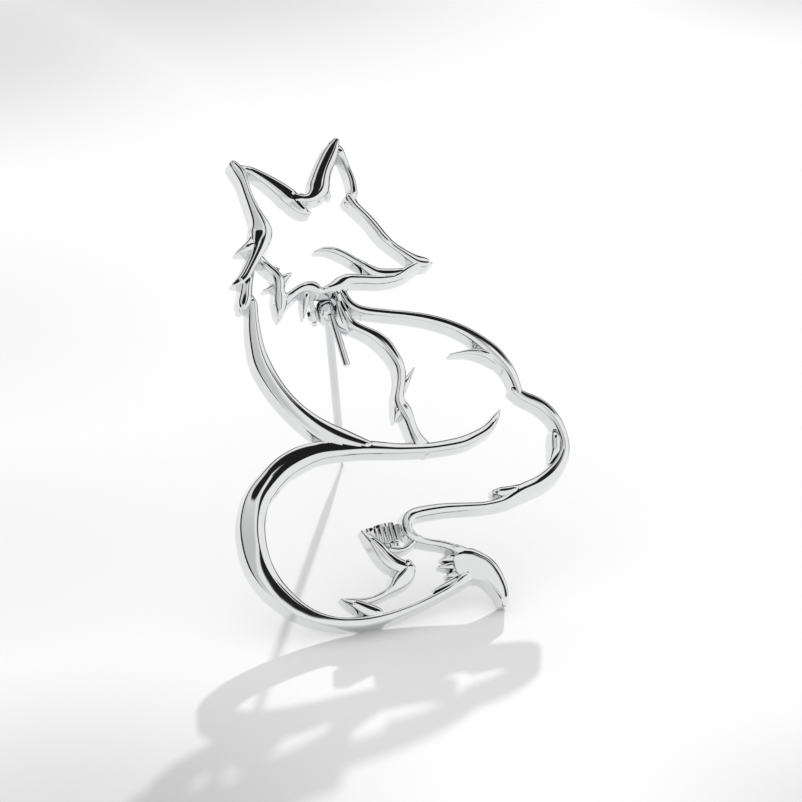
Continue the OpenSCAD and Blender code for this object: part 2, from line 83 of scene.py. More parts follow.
# every stroke of the figure: rows of [x, y, width], each a share of the figure's height
STROKES = {
    "ear_left_top": [
        [0.146, 0.956, 0.012], [0.172, 0.945, 0.015], [0.2, 0.923, 0.022], [0.228, 0.895, 0.031],
        [0.244, 0.876, 0.035], [0.252, 0.86, 0.028], [0.261, 0.847, 0.02], [0.272, 0.841, 0.009]],
    "ear_bridge": [[0.24, 0.882, 0.026], [0.26, 0.873, 0.016], [0.277, 0.87, 0.018], [0.293, 0.876, 0.028]],
    "ear_left_side": [
        [0.143, 0.959, 0.018], [0.151, 0.945, 0.023], [0.156, 0.922, 0.018], [0.159, 0.893, 0.017],
        [0.165, 0.861, 0.022], [0.171, 0.836, 0.032], [0.171, 0.814, 0.044], [0.16, 0.789, 0.034],
        [0.146, 0.767, 0.024], [0.129, 0.744, 0.02], [0.112, 0.724, 0.02], [0.09, 0.717, 0.004]],
    "ear_right_in": [
        [0.292, 0.872, 0.034], [0.305, 0.889, 0.041], [0.313, 0.908, 0.036], [0.323, 0.927, 0.032],
        [0.336, 0.946, 0.031], [0.348, 0.963, 0.028], [0.358, 0.979, 0.016]],
    "ear_right_out": [
        [0.352, 0.978, 0.014], [0.361, 0.963, 0.018], [0.367, 0.945, 0.013], [0.371, 0.92, 0.012],
        [0.374, 0.9, 0.013], [0.374, 0.881, 0.014], [0.371, 0.866, 0.016], [0.363, 0.855, 0.021],
        [0.355, 0.851, 0.014]],
    "ear_furs": [
        [[0.268, 0.878, 0.016], [0.273, 0.867, 0.013], [0.275, 0.86, 0.005]],
        [[0.296, 0.884, 0.028], [0.298, 0.87, 0.017], [0.3, 0.863, 0.006]],
        [[0.317, 0.897, 0.018], [0.32, 0.881, 0.011], [0.324, 0.868, 0.004]]],
    "brow": [
        [0.362, 0.858, 0.022], [0.37, 0.84, 0.018], [0.385, 0.819, 0.017], [0.399, 0.795, 0.018],
        [0.411, 0.771, 0.018], [0.424, 0.753, 0.015], [0.44, 0.736, 0.016], [0.456, 0.721, 0.019],
        [0.47, 0.71, 0.025], [0.485, 0.705, 0.022], [0.496, 0.703, 0.006]],
    "mouth": [
        [0.268, 0.761, 0.003], [0.286, 0.763, 0.008], [0.306, 0.757, 0.012], [0.325, 0.745, 0.013],
        [0.34, 0.732, 0.013], [0.351, 0.723, 0.014], [0.369, 0.706, 0.02], [0.387, 0.695, 0.024],
        [0.412, 0.691, 0.024], [0.432, 0.692, 0.018], [0.45, 0.694, 0.014]],
    "jaw": [
        [0.299, 0.687, 0.034], [0.32, 0.693, 0.025], [0.337, 0.691, 0.02], [0.355, 0.688, 0.019],
        [0.375, 0.684, 0.019], [0.395, 0.682, 0.018], [0.415, 0.682, 0.016], [0.435, 0.689, 0.02],
        [0.452, 0.697, 0.018], [0.472, 0.703, 0.014], [0.492, 0.704, 0.008]],
    "tuft_top": [[0.161, 0.8, 0.036], [0.146, 0.791, 0.026], [0.13, 0.785, 0.016], [0.11, 0.779, 0.004]],
    "tuft_low": [
        [0.128, 0.739, 0.024], [0.12, 0.72, 0.023], [0.115, 0.703, 0.022], [0.11, 0.687, 0.024],
        [0.103, 0.673, 0.023], [0.094, 0.662, 0.007]],
    "cheek": [
        [0.154, 0.767, 0.018], [0.159, 0.752, 0.017], [0.169, 0.738, 0.016], [0.179, 0.725, 0.017],
        [0.184, 0.709, 0.023], [0.18, 0.693, 0.019], [0.179, 0.675, 0.027], [0.175, 0.659, 0.023],
        [0.17, 0.645, 0.014], [0.166, 0.632, 0.004]],
    "cheek_furs": [
        [[0.17, 0.736, 0.016], [0.182, 0.736, 0.014], [0.189, 0.737, 0.005]],
        [[0.186, 0.71, 0.02], [0.199, 0.718, 0.013], [0.211, 0.724, 0.005]],
        [[0.176, 0.705, 0.014], [0.163, 0.701, 0.007], [0.15, 0.697, 0.003]]],
    "ruff_in": [
        [0.176, 0.665, 0.027], [0.195, 0.675, 0.018], [0.216, 0.686, 0.016], [0.234, 0.691, 0.018],
        [0.249, 0.687, 0.026], [0.259, 0.677, 0.014], [0.272, 0.679, 0.014], [0.286, 0.681, 0.022],
        [0.304, 0.684, 0.036]],
    "tuft_mid": [[0.235, 0.69, 0.014], [0.229, 0.668, 0.014], [0.222, 0.648, 0.009], [0.217, 0.631, 0.003]],
    "tuft_right": [
        [0.297, 0.688, 0.018], [0.293, 0.664, 0.012], [0.291, 0.641, 0.013], [0.292, 0.62, 0.013],
        [0.294, 0.603, 0.01], [0.299, 0.588, 0.003]],
    "chest": [
        [0.117, 0.7, 0.011], [0.119, 0.685, 0.014], [0.12, 0.67, 0.019], [0.117, 0.65, 0.019],
        [0.113, 0.62, 0.024], [0.111, 0.585, 0.028], [0.114, 0.55, 0.034], [0.125, 0.512, 0.034],
        [0.143, 0.473, 0.034], [0.168, 0.436, 0.036], [0.2, 0.402, 0.042], [0.245, 0.37, 0.044],
        [0.3, 0.345, 0.02]],
    "back": [
        [0.303, 0.685, 0.018], [0.306, 0.661, 0.015], [0.316, 0.64, 0.016], [0.338, 0.626, 0.016],
        [0.38, 0.614, 0.016], [0.42, 0.604, 0.016], [0.46, 0.591, 0.017], [0.5, 0.573, 0.018],
        [0.535, 0.55, 0.02], [0.563, 0.523, 0.024], [0.581, 0.5, 0.027], [0.595, 0.477, 0.023],
        [0.604, 0.456, 0.02], [0.608, 0.434, 0.018], [0.61, 0.412, 0.016]],
    "back_tuft": [
        [0.492, 0.512, 0.004], [0.514, 0.512, 0.007], [0.533, 0.511, 0.011], [0.551, 0.506, 0.015],
        [0.567, 0.497, 0.017], [0.582, 0.487, 0.02]],
    "rump": [
        [0.602, 0.42, 0.016], [0.618, 0.404, 0.02], [0.642, 0.388, 0.022], [0.66, 0.369, 0.022],
        [0.673, 0.344, 0.02], [0.679, 0.315, 0.018], [0.678, 0.29, 0.018], [0.666, 0.266, 0.023],
        [0.643, 0.243, 0.029], [0.61, 0.226, 0.03], [0.57, 0.216, 0.03], [0.53, 0.202, 0.021],
        [0.49, 0.199, 0.017], [0.45, 0.203, 0.018], [0.4, 0.208, 0.021], [0.36, 0.209, 0.021]],
    "hock": [
        [0.372, 0.209, 0.02], [0.345, 0.207, 0.022], [0.328, 0.194, 0.022], [0.325, 0.176, 0.02],
        [0.335, 0.16, 0.017], [0.355, 0.149, 0.013], [0.385, 0.139, 0.013], [0.41, 0.126, 0.016],
        [0.43, 0.11, 0.03]],
    "rump_tuft": [[0.514, 0.224, 0.01], [0.528, 0.221, 0.02], [0.548, 0.221, 0.018], [0.572, 0.223, 0.019]],
    "side_tuft": [
        [0.67, 0.333, 0.006], [0.665, 0.321, 0.014], [0.662, 0.306, 0.019], [0.658, 0.289, 0.018],
        [0.65, 0.277, 0.01], [0.643, 0.267, 0.003]],
    "foreleg": [
        [0.292, 0.685, 0.018], [0.294, 0.655, 0.013], [0.298, 0.63, 0.016], [0.308, 0.602, 0.019],
        [0.33, 0.585, 0.018], [0.35, 0.57, 0.023], [0.366, 0.551, 0.025], [0.377, 0.527, 0.022],
        [0.384, 0.5, 0.02], [0.38, 0.473, 0.018], [0.371, 0.449, 0.018], [0.367, 0.43, 0.024],
        [0.374, 0.412, 0.028], [0.378, 0.393, 0.022], [0.38, 0.374, 0.021], [0.387, 0.35, 0.024],
        [0.4, 0.332, 0.028]],
    "leg_tufts": [
        [[0.413, 0.496, 0.003], [0.402, 0.484, 0.008], [0.391, 0.471, 0.013], [0.378, 0.455, 0.016]],
        [[0.35, 0.396, 0.003], [0.356, 0.407, 0.013], [0.366, 0.424, 0.022]]],
    "haunch": [
        [0.564, 0.384, 0.004], [0.551, 0.369, 0.013], [0.532, 0.352, 0.018], [0.505, 0.341, 0.02],
        [0.475, 0.333, 0.023], [0.44, 0.331, 0.022], [0.4, 0.332, 0.021], [0.346, 0.339, 0.023],
        [0.317, 0.345, 0.026], [0.28, 0.352, 0.029], [0.23, 0.358, 0.03], [0.19, 0.36, 0.036]],
    "tail": [
        [0.24, 0.356, 0.03], [0.19, 0.36, 0.038], [0.15, 0.354, 0.044], [0.11, 0.338, 0.045],
        [0.075, 0.312, 0.045], [0.05, 0.287, 0.048], [0.034, 0.257, 0.05], [0.025, 0.225, 0.051],
        [0.022, 0.19, 0.05], [0.025, 0.155, 0.049], [0.036, 0.122, 0.045], [0.053, 0.093, 0.04],
        [0.078, 0.063, 0.033], [0.108, 0.04, 0.025], [0.15, 0.022, 0.02], [0.2, 0.0145, 0.02],
        [0.25, 0.0165, 0.018], [0.3, 0.025, 0.014], [0.345, 0.037, 0.013], [0.385, 0.05, 0.013],
        [0.41, 0.062, 0.02], [0.432, 0.071, 0.024]],
    "tail_tip": [
        [0.43, 0.092, 0.064], [0.442, 0.086, 0.06], [0.459, 0.075, 0.053],
        [0.47, 0.06, 0.042], [0.478, 0.04, 0.032], [0.482, 0.02, 0.022], [0.48, 0.001, 0.01]],
    "tail_furs": [
        [[0.43, 0.11, 0.02], [0.398, 0.111, 0.016], [0.382, 0.11, 0.006]],
        [[0.43, 0.091, 0.018], [0.392, 0.095, 0.013], [0.373, 0.097, 0.005]],
        [[0.43, 0.077, 0.02], [0.402, 0.077, 0.014], [0.385, 0.077, 0.006]],
        [[0.42, 0.073, 0.02], [0.385, 0.064, 0.01], [0.354, 0.054, 0.004]]],
    "foot_leaf": [
        [0.236, 0.19, 0.005], [0.245, 0.177, 0.012], [0.254, 0.162, 0.021], [0.263, 0.148, 0.028],
        [0.271, 0.133, 0.03], [0.283, 0.118, 0.03], [0.299, 0.108, 0.027], [0.311, 0.104, 0.022]],
    "foot_arc": [
        [0.244, 0.18, 0.007], [0.26, 0.161, 0.01], [0.274, 0.149, 0.011], [0.291, 0.143, 0.01],
        [0.305, 0.141, 0.01], [0.32, 0.145, 0.01], [0.333, 0.154, 0.012], [0.346, 0.159, 0.013]],
    "foot_hook": [
        [0.309, 0.109, 0.022], [0.309, 0.099, 0.03], [0.298, 0.089, 0.033], [0.284, 0.08, 0.03],
        [0.273, 0.071, 0.019], [0.26, 0.065, 0.012], [0.242, 0.059, 0.011], [0.224, 0.055, 0.011],
        [0.203, 0.055, 0.011], [0.183, 0.061, 0.008], [0.166, 0.066, 0.003]],
    "foot_sole": [
        [0.168, 0.065, 0.004], [0.181, 0.057, 0.012], [0.196, 0.048, 0.02], [0.21, 0.038, 0.026],
        [0.228, 0.028, 0.024]],
}
# strokes that run on from one another are drawn as one line: (first, rows kept, second, rows left out)
RUN_ON = [("ruff_in", 9, "jaw", 1), ("haunch", 10, "tail", 0), ("rump", 15, "hock", 1),
          ("ear_left_top", 5, "ear_bridge", 1), ("ear_left_top", 8, "ear_right_in", 1)]
# lines that leave another one where it turns off: (new name, the other one, its first row)
BRANCH = [("ear_hook", "ear_left_top", 3)]
# which side of a line faces out of the figure, 1 for the right of its travel and -1 for the left,
# at the line's start and at its end; 0 where neither does
OUTER = {
    "ear_left_top": (-1, -1), "ear_left_side": (1, 1),
    "ear_right_out": (-1, -1), "brow": (-1, -1), "ruff_in": (0, 1), "tuft_low": (1, 1), "chest": (1, 1),
    "back": (-1, -1), "rump": (-1, 1), "foreleg": (-1, -1), "haunch": (1, 1), "tail_tip": (1, 1),
    "foot_hook": (-1, -1)}
CREST_SHIFT = 0.3      # how far the crest lies towards the inner side, as a share of the half width
OUTER_SLOPE = 0.27     # slope of the face that looks outwards
INNER_SLOPE = 0.45
# where the outer face differs along a line: (share of the line's length, slope, share of the face
# next to the crest that is left level)
FACES = {
    "haunch": [(0, 0.5, 0), (0.22, 0.5, 0), (0.33, 0.27, 0.1), (0.43, 0.32, 0.5), (0.54, 0.27, 0.05),
               (0.6, 0.27, 0.6), (0.65, 0.3, 0.92), (0.71, 0.3, 0.92), (0.75, 0.28, 0.45), (0.79, 0.27, 0)],
    "chest": [(0, 0.27, 0.1), (0.4, 0.27, 0.15), (0.8, 0.3, 0.45)],
    "foreleg": [(0, 0.27, 0.2), (0.3, 0.27, 0.4), (0.5, 0.27, 0)],
    "back": [(0, 0.27, 0), (0.3, 0.27, 0), (0.45, 0.18, 0), (1, 0.18, 0)],
    "rump": [(0, 0.18, 0), (0.22, 0.18, 0), (0.32, 0.27, 0), (0.42, 0.5, 0), (0.85, 0.5, 0), (1, 0.27, 0)],
    "ear_left_side": [(0, 0.27, 0), (0.45, 0.27, 0), (0.6, 0.27, 0.4), (1, 0.3, 0.5)],
    "brow": [(0, 0.5, 0)]}
# how far the round nose past an end falls, for its width
NOSE_FALL = 0.12
LEVEL_NOSE = {"tail_tip": 0.02}
WIDE_FAN = {"tail_tip": (0.62, 0.16)}  # crest and outer slope of the broad leaf at the tail's tip
LOW = {"tail_furs": 0.8, "ear_furs": 0.9, "cheek_furs": 0.9}  # height as a share of the others'
THINNEST = 0.0035      # least width of a line, as a share of the figure's height
FULL_AT = 0.016        # width, as the same share, from which a line has the casting's full height
THIN_HEIGHT = 0.62     # height of the thinnest lines, as a share of the full one

STEP = 0.2 * MM        # distance between stations along a stroke
SMOOTHING = 0.28 * MM  # how far the drawn line is evened out
CREST_ROUND = 0.3      # how softly the crest turns, as a share of the way to the edge
EDGE_ROUND = 0.26 * MM
EDGE_SHARE = 0.45      # most of a narrow face that its rounded edge may take
BACK_ROUND = 0.12 * MM
FLARE_AT = 0.012       # width, as a share of the figure's height, from which the sides flare in full
DIVE = 0.5 * MM        # how far an end that another stroke covers sinks under it
DIVE_LENGTH = 1.6 * MM
WIDER = 1.4            # a stroke covers another's end if it is that much wider there,
RUNS_PAST = 1.2 * MM   # or runs on that far past it


def spline(rows, per_gap=24):
    """Catmull-Rom curve through the rows: on each gap the cubic that passes both rows
    and has at each the slope of the line between its two neighbours."""
    p = np.vstack([rows[:1], rows, rows[-1:]])
    t = (np.arange(per_gap) / per_gap)[None, :, None]
    a, b, c, d = (p[k:len(rows) - 1 + k, None, :] for k in range(4))
    curve = 0.5 * (2 * b + (c - a) * t + (2 * a - 5 * b + 4 * c - d) * t**2 + (3 * b - a - 3 * c + d) * t**3)
    return np.vstack([curve.reshape(-1, rows.shape[1]), rows[-1:]])


def evened(curve, step, reach):
    """The curve at even steps of its length, each value averaged with its neighbours by a bell curve
    of that reach. Beyond the ends the line is carried on by point reflection, so the ends stay."""
    length = np.concatenate([[0], np.cumsum(np.linalg.norm(np.diff(curve[:, :2], axis=0), axis=1))])
    count = max(6, int(round(length[-1] / step)) + 1)
    at = np.linspace(0, length[-1], count)
    even = np.stack([np.interp(at, length, curve[:, k]) for k in range(curve.shape[1])], 1)
    pad = min(count - 1, int(math.ceil(3 * reach / step)))
    before = 2 * even[0] - even[pad:0:-1]
    after = 2 * even[-1] - even[-2:-pad - 2:-1]
    long = np.vstack([before, even, after])
    bell = np.exp(-0.5 * (np.arange(-pad, pad + 1) * step / reach) ** 2)
    bell /= bell.sum()
    return np.stack([np.convolve(long[:, k], bell, "valid") for k in range(curve.shape[1])], 1)


def stroke_lines():
    """Every stroke as (name, line), a line being evened rows of x, y and width in metres."""
    tables = {name: rows if isinstance(rows[0][0], list) else [rows] for name, rows in STROKES.items()}
    for name, other, first_row in BRANCH:
        tables[name] = [tables[other][0][first_row:]]
    for first, kept, second, left_out in RUN_ON:
        tables[first] = [tables[first][0][:kept] + tables[second][0][left_out:]]
        del tables[second]
    lines = []
    for name, group in tables.items():
        for rows in group:
            line = evened(spline(np.array(rows)) * FIGURE_H, STEP, SMOOTHING)
            line[:, 2] = np.maximum(line[:, 2], THINNEST * FIGURE_H)
            lines.append((name, line))
    return lines


def covered(end, own, lines):
    """Whether another stroke lies over the end of this one: one that is clearly wider there,
    or that runs on well past it."""
    for name, line in lines:
        if line is own:
            continue
        away = np.linalg.norm(line[:, :2] - end[:2], axis=1) - line[:, 2] / 2
        k = int(np.argmin(away))
        to_end = min(np.linalg.norm(line[k, :2] - line[0, :2]), np.linalg.norm(line[k, :2] - line[-1, :2]))
        if away[k] < 0 and (line[k, 2] > WIDER * end[2] or to_end > RUNS_PAST):
            return True
    return False


def face(width, slope, level):
    """One side of the front, from the crest to the edge, as (distance, fall) at a few places. The fall
    at x is s (sqrt(x^2 + r^2) - r), which turns softly from level to the slope s. Where part of the
    face is left level up to b, it is s (x - b + sqrt((x - b)^2 + r^2)) / 2 less its value at 0. At the
    edge a quarter round is added."""
    width, slope, level = width[:, None], slope[:, None], level[:, None]
    round_off = np.minimum(EDGE_ROUND, EDGE_SHARE * width)
    soft = CREST_ROUND * width
    turn = np.radians([0, 22, 45, 68, 90])
    x = np.hstack([(width - round_off) * np.array([0, 0.06, 0.13, 0.23, 0.37, 0.55, 0.78]),
                   width - round_off * (1 - np.sin(turn))])
    bend = level * width
    past = x - bend
    ramp = (past + np.sqrt(past**2 + soft**2)) / 2 - (np.sqrt(bend**2 + soft**2) - bend) / 2
    turned_over = np.sqrt(x**2 + soft**2) - soft
    fall = slope * (turned_over + (ramp - turned_over) * np.minimum(1, 4 * level))
    fall[:, -len(turn):] += round_off * (1 - np.cos(turn))
    return x, fall


def stroke_points(name, line, buried):
    """A stroke of the casting as a closed grid: stations along the line, points round the section.
    The crest's height rises with the width w up to FULL_AT, as CASTING_T times THIN_HEIGHT plus
    (1 - THIN_HEIGHT) w / FULL_AT, and the crest lies towards the inner side. From there one face
    falls gently outwards and one more steeply inwards. The sides flare towards the flat back."""
    along = np.gradient(line[:, :2], axis=0)
    along /= np.linalg.norm(along, axis=1)[:, None]
    # a rounded nose past each end: the width falls as cos a while the line goes on by sin a
    nose = np.radians([88, 72, 52, 30])
    half = line[:, 2] / 2
    first = [line[0, :2] - along[0] * half[0] * np.sin(a) for a in nose]
    last = [line[-1, :2] + along[-1] * half[-1] * np.sin(a) for a in nose[::-1]]
    xy = np.vstack([first, line[:, :2], last])
    n = len(line)
    shrink = np.concatenate([np.cos(nose), np.ones(n), np.cos(nose[::-1])])
    share = np.concatenate([np.full(4, line[0, 2]), line[:, 2], np.full(4, line[-1, 2])]) / FIGURE_H
    along = np.vstack([np.repeat(along[:1], 4, 0), along, np.repeat(along[-1:], 4, 0)])
    half = share * FIGURE_H / 2 * shrink
    top = CASTING_T * LOW.get(name, 1.0) * np.minimum(1, THIN_HEIGHT + (1 - THIN_HEIGHT) * share / FULL_AT)
    from_start = np.concatenate([np.zeros(4), np.arange(n) * STEP, np.full(4, n * STEP)])
    for under, way in zip(buried, (from_start, n * STEP - from_start)):
        top = top - under * DIVE * np.clip(1 - way / DIVE_LENGTH, 0, 1) ** 2
    top = top - LEVEL_NOSE.get(name, NOSE_FALL) * share * FIGURE_H * (1 - shrink)
    flare = SIDE_SLOPE * np.minimum(1, share / FLARE_AT)
    start, stop = OUTER.get(name, (0, 0))
    outer = start + (stop - start) * np.clip(from_start / (n * STEP), 0, 1)
    shift, gentle = WIDE_FAN.get(name, (CREST_SHIFT, OUTER_SLOPE))
    rows = np.array(FACES.get(name, [(0, gentle, 0)]), dtype=float)
    gentle, level = (np.interp(from_start / (n * STEP), rows[:, 0], rows[:, k]) for k in (1, 2))
    middle, spread = (gentle + INNER_SLOPE) / 2, (INNER_SLOPE - gentle) / 2
    crest = -shift * outer * half
    right_x, right_fall = face(half - crest, middle - spread * outer, level * (outer > 0))
    left_x, left_fall = face(half + crest, middle + spread * outer, level * (outer < 0))
    front_x = crest[:, None] + np.hstack([-left_x[:, :0:-1], right_x])
    front_z = top[:, None] - np.hstack([left_fall[:, :0:-1], right_fall])
    low = np.array([0.75, 0.5, 0.25])
    out = half[:, None] + flare[:, None] * (1 - low)
    turn = np.radians([0, 30, 60, 90])
    inset = BACK_ROUND * np.minimum(1, half[:, None] / BACK_ROUND)
    foot_x = half[:, None] + flare[:, None] - inset * (1 - np.cos(turn))
    foot_z = np.repeat(BACK_ROUND * (1 - np.sin(turn))[None, :], len(half), 0)
    side_x = np.hstack([out, foot_x])
    right_z, left_z = (np.hstack([front_z[:, [k]] * low + BACK_ROUND * (1 - low), foot_z]) for k in (-1, 0))
    x = np.hstack([front_x, side_x, -side_x[:, ::-1]])
    z = np.hstack([front_z, right_z, left_z[:, ::-1]])
    across = np.stack([along[:, 1], -along[:, 0]], 1)
    return np.stack([xy[:, 0, None] + across[:, 0, None] * x, xy[:, 1, None] + across[:, 1, None] * x, z], 2)


def grid_faces(n, m):
    """Quads of a grid of n rings with m points each, closed round each ring, with a fan of one
    polygon on either end."""
    i, j = np.meshgrid(np.arange(n - 1), np.arange(m), indexing="ij")
    k = (j + 1) % m
    quads = np.stack([i * m + j, i * m + k, (i + 1) * m + k, (i + 1) * m + j], 2).reshape(-1, 4)
    return quads.tolist() + [list(range(m - 1, -1, -1)), list(range((n - 1) * m, n * m))]


def leaned(points):
    """From the flat figure to the place where the brooch stands: turned up about x by LEAN from
    upright, and moved so that the footprint's middle is at the origin."""
    s, c = math.sin(math.radians(LEAN)), math.cos(math.radians(LEAN))
    x, y, z = points[..., 0], points[..., 1], points[..., 2]
    return np.stack([x - CENTRE_X, y * s - z * c - CENTRE_Y, y * c + z * s], -1)


def new_piece(name, points, faces):
    mesh = bpy.data.meshes.new(name)
    mesh.from_pydata(points.reshape(-1, 3).tolist(), [], faces)
    mesh.validate()
    piece = bpy.data.objects.new(name, mesh)
    bpy.context.scene.collection.objects.link(piece)
    return piece


def strokes():
    """All strokes of the fox as overlapping solids."""
    lines = stroke_lines()
    for name, line in lines:
        buried = (covered(line[0], line, lines), covered(line[-1], line, lines))
        points = stroke_points(name, line, buried)
        yield new_piece("stroke", leaned(points), grid_faces(*points.shape[:2]))


def joined(name, pieces):
    """One closed solid from several that overlap: their union, worked out by the manifold solver."""
    base = pieces[0]
    rest = bpy.data.collections.new(name + "_parts")
    bpy.context.scene.collection.children.link(rest)
    for piece in pieces[1:]:
        rest.objects.link(piece)
    union = base.modifiers.new("union", "BOOLEAN")
    union.operation, union.operand_type, union.solver = "UNION", "COLLECTION", "MANIFOLD"
    union.collection = rest
    solid = bpy.data.meshes.new_from_object(base.evaluated_get(bpy.context.evaluated_depsgraph_get()))
    for piece in pieces:
        bpy.data.meshes.remove(piece.data)
    bpy.data.collections.remove(rest)
    solid.name = name
    piece = bpy.data.objects.new(name, solid)
    bpy.context.scene.collection.objects.link(piece)
    return piece


def shaded(piece, sharp=40):
    """Smooth shading, broken at edges that turn by more than the given angle."""
    piece.data.shade_smooth()
    piece.data.set_sharp_from_angle(angle=math.radians(sharp))
    return piece


def turned(points, x=0.0, y=0.0, z=0.0):
    """Points turned about x, then y, then z, in degrees."""
    for axis, angle in ((0, x), (1, y), (2, z)):
        c, s = math.cos(math.radians(angle)), math.sin(math.radians(angle))
        i, j = [(1, 2), (2, 0), (0, 1)][axis]
        p, q = points[..., i].copy(), points[..., j].copy()
        points = points.copy()
        points[..., i], points[..., j] = p * c - q * s, p * s + q * c
    return points


def at_hinge(points):
    """From the pivot's own frame, x along the rivet, to the standing brooch."""
    return leaned(turned(points, y=-HINGE_SKEW, z=HINGE_TILT) + np.array([*HINGE_AT, -PIN_DROP]))


def at_catch(points):
    """From the catch's own frame, z along the closed pin, to the standing brooch."""
    flat = turned(turned(points, x=90), y=HINGE_SKEW) + np.array([0, -CATCH_REACH, 0])
    return at_hinge(flat)


def plate(name, outline, thickness, place, edge):
    """A flat outline (u, v) given a thickness along w, its rims rounded by a bevel of that size."""
    n = len(outline)
    low = np.column_stack([outline, np.full(n, -thickness / 2)])
    high = np.column_stack([outline, np.full(n, thickness / 2)])
    k = np.arange(n)
    sides = np.stack([k, (k + 1) % n, n + (k + 1) % n, n + k], 1).tolist()
    faces = sides + [list(range(n - 1, -1, -1)), list(range(n, 2 * n))]
    piece = new_piece(name, place(np.vstack([low, high])), faces)
    rim = piece.modifiers.new("rim", "BEVEL")
    rim.width, rim.segments, rim.limit_method, rim.angle_limit = edge, 3, "ANGLE", math.radians(40)
    return piece


def arc(radius, start, stop, count):
    """Points on a circle between two angles in degrees."""
    a = np.radians(np.linspace(start, stop, count))
    return np.column_stack([np.cos(a), np.sin(a)]) * radius


def bracket_cheek(name, side):
    """Round-ended cheek: a disc of EAR_D round the pivot with a foot up to the casting's back."""
    foot, back = CHEEK_FOOT, PIN_DROP + 2 * FOOT_SINK
    outline = np.vstack([
        arc(EAR_D / 2, 90, 315, 40), [[foot * 0.72, -0.35 * EAR_D], [foot, -0.2 * EAR_D], [foot, back], [0, back]]])
    # (u, v, w) of the plate is (y, z, x) of the pivot's frame
    shift = side * (EAR_GAP + EAR_W) / 2
    return plate(name, outline, EAR_W,
                 lambda p: at_hinge(np.column_stack([p[:, 2] + shift, p[:, 0], p[:, 1]])), CHEEK_EDGE)


def rod():
    """Short round rod along the back of the right-hand tuft: circles along a line, with a small
    chamfer on either end."""
    r, c = ROD_D / 2, ROD_CHAMFER
    station = np.array([0, 0, c, ROD_L - c, ROD_L, ROD_L])
    radius = np.array([0.02 * r, r - c, r, r, r - c, 0.02 * r])
    turn = np.linspace(0, 2 * math.pi, 40, endpoint=False)
    p = np.stack([radius[:, None] * np.cos(turn), -np.repeat(station[:, None], 40, 1),
                  radius[:, None] * np.sin(turn)], 2)
    p = turned(p, z=ROD_TILT) + np.array([*ROD_AT, ROD_SINK - r])
    return new_piece("back_rod", leaned(p), grid_faces(6, 40))


def knuckle():
    """Round drum of the pin that turns between the cheeks: half of the oval |2x / W|^n + |2r / D|^n = 1
    with n = KNUCKLE_POWER, turned about the pivot."""
    a = np.radians(np.linspace(2, 178, 31))
    power = 2 / KNUCKLE_POWER
    profile = np.column_stack([-np.sign(np.cos(a)) * np.abs(np.cos(a)) ** power * KNUCKLE_W / 2,
                               np.sin(a) ** power * KNUCKLE_D / 2])
    turn = np.linspace(0, 2 * math.pi, 48, endpoint=False)
    p = np.stack([np.repeat(profile[:, :1], 48, 1), profile[:, 1:] * np.cos(turn),
                  profile[:, 1:] * np.sin(turn)], 2)
    return new_piece("hinge_knuckle", at_hinge(p), grid_faces(len(profile), 48))


def catch_housing():
    """Open ring round the turning sleeve, with a straight foot up to the casting: the outline runs
    round the bore from one side of the slot to the other, and back round the outside."""
    inner, outer = HOUSING_BORE / 2, CATCH_D / 2
    gap_in = math.degrees(math.asin(SLOT_W / 2 / inner))
    gap_out = math.degrees(math.asin(SLOT_W / 2 / outer))
    foot = PIN_DROP + FOOT_SINK
    # the front has round ribs that run along the pin: |sin| humps side by side
    across = np.linspace(-1, 1, 57)
    humps = np.abs(np.sin(across * RIBS * math.pi / 2))
    ribs = np.column_stack([outer * across, foot - RIB_DEPTH * (1 - humps)])
    outline = np.vstack([
        arc(inner, -90 + gap_in, 270 - gap_in, 60), arc(outer, 270 - gap_out, 180, 24), ribs,
        arc(outer, 0, -90 + gap_out, 24)])
    return plate("catch_housing", outline[::-1], CATCH_L, at_catch, CATCH_EDGE)


# The fox
casting = shaded(joined("fox_casting", list(strokes())), 38)
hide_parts("fox_frame")
left_cheek = shaded(bracket_cheek("hinge_cheek_left", -1))
right_cheek = shaded(bracket_cheek("hinge_cheek_right", 1))
back_rod = shaded(rod())
housing = shaded(catch_housing())
drum = shaded(knuckle())

# Materials

def node_maker(tree):
    """Short form for adding a node: its type, then values for its inputs, by name or place."""
    def add(kind, inputs=(), **settings):
        node = tree.nodes.new(kind)
        for key, value in settings.items():
            setattr(node, key, value)
        for key, value in dict(inputs).items():
            if isinstance(value, bpy.types.NodeSocket):
                tree.links.new(value, node.inputs[key])
            else:
                node.inputs[key].default_value = value
        return node
    return add


# scales are counts in a metre
CLOUDS = 260.0                      # soft clouds in tone and polish
CLOUD_DEPTH = 0.04                  # how much darker the plate is in them
WORN = 1.8                          # how many times rougher
WAVES = 420.0                       # waviness that polishing leaves
WIPES = (900.0, 12000.0, 900.0)     # wiping lines, fine across and long along


